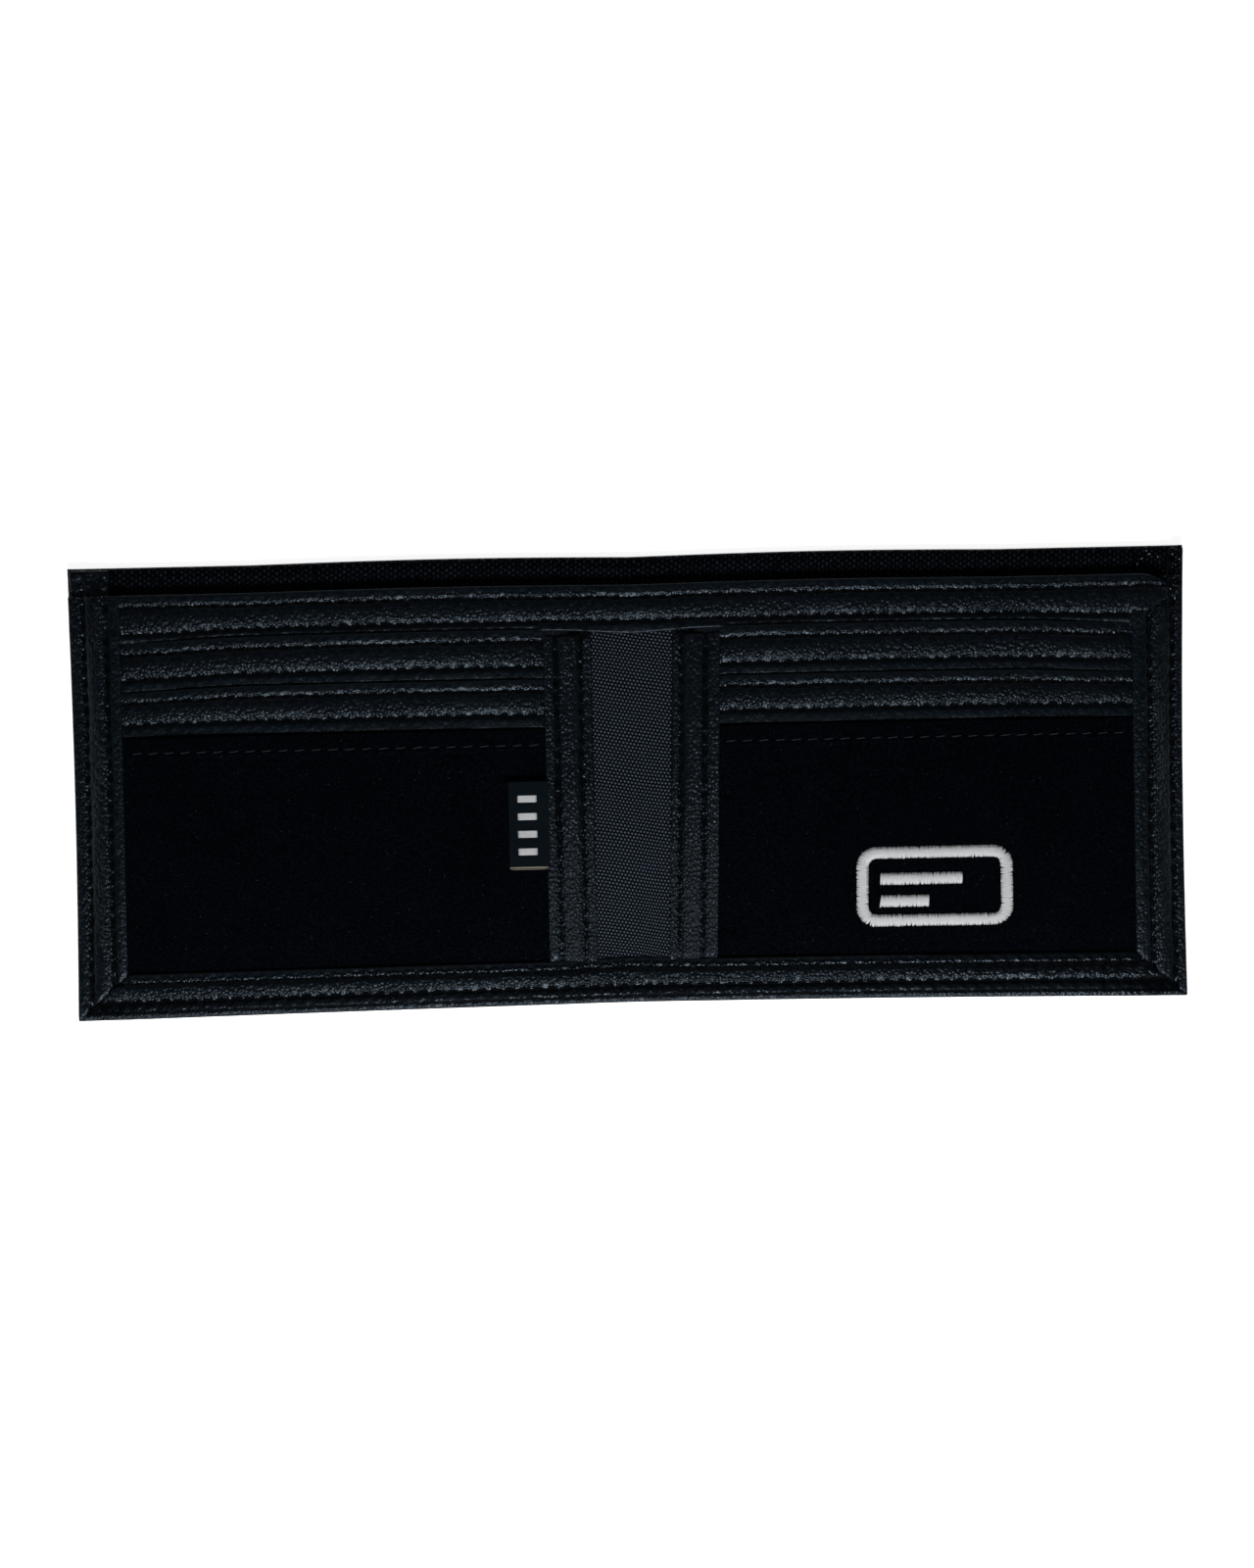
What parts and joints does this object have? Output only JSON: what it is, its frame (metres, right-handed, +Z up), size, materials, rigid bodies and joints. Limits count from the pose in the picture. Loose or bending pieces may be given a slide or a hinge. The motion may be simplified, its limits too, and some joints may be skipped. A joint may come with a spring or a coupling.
{
  "type": "bifold wallet",
  "caption": "Open bifold wallet with a full-width banknote compartment, leather-edged card slots and a suede front pocket on each wing.",
  "frame": {"origin": "middle of the underside with the wallet open and face up", "axes": "+X along the open wallet from the left wing to the right wing, +Y towards the mouth of the banknote compartment, +Z up out of the card side"},
  "size_m": [0.228, 0.092, 0.0064],
  "materials": {
    "leather": "pebbled, semi-matte",
    "suede": "napped, matte",
    "nylon": "woven, matte",
    "lining": "ribbed, matte",
    "pocket_fabric": "plain weave, matte",
    "stiffener": "pressed fibre, matte",
    "label": "woven, matte",
    "embroidery": "satin stitch",
    "thread": "twisted thread, satin",
    "grey_thread": "twisted thread, satin"
  },
  "bodies": {
    "left_wing": {"cover_left": "leather", "stiffener_left": "stiffener", "lining_left": "lining", "inner_wall_left": "nylon", "slot_panel_1_left": "pocket_fabric", "slot_edge_1_left": "leather", "slot_panel_2_left": "pocket_fabric", "slot_edge_2_left": "leather", "suede_pocket_left": "suede", "top_band_left": "leather", "centre_band_left": "leather", "side_band_left": "leather", "bottom_band_left": "leather", "corner_tab_left": "leather"},
    "spine": {"cover_spine": "leather", "lining_spine": "lining", "inner_wall_spine": "nylon", "top_band_spine": "leather", "bottom_band_spine": "leather"},
    "right_wing": {"cover_right": "leather", "stiffener_right": "stiffener", "lining_right": "lining", "inner_wall_right": "nylon", "slot_panel_1_right": "pocket_fabric", "slot_edge_1_right": "leather", "slot_panel_2_right": "pocket_fabric", "slot_edge_2_right": "leather", "suede_pocket_right": "suede", "top_band_right": "leather", "centre_band_right": "leather", "side_band_right": "leather", "bottom_band_right": "leather", "emblem_frame": "embroidery", "emblem_bar_1": "embroidery", "emblem_bar_2": "embroidery"},
    "label": {"woven_label": "label"}
  },
  "joints": [
    {"name": "left_fold", "type": "hinge", "parent": "left_wing", "child": "spine", "pos_m": [-0.006, 0, 0.0008], "axis": [0, -1, 0], "range_deg": [0, 90]},
    {"name": "right_fold", "type": "hinge", "parent": "spine", "child": "right_wing", "pos_m": [0.006, 0, 0.0008], "axis": [0, -1, 0], "range_deg": [0, 90]},
    {"name": "label_lift", "type": "hinge", "parent": "left_wing", "child": "label", "pos_m": [-0.0179, 0, 0.0057], "axis": [0, 1, 0], "range_deg": [0, 12]}
  ],
  "couplings": [
    {"joint": "right_fold", "follows": "left_fold", "ratio": 1}
  ]
}
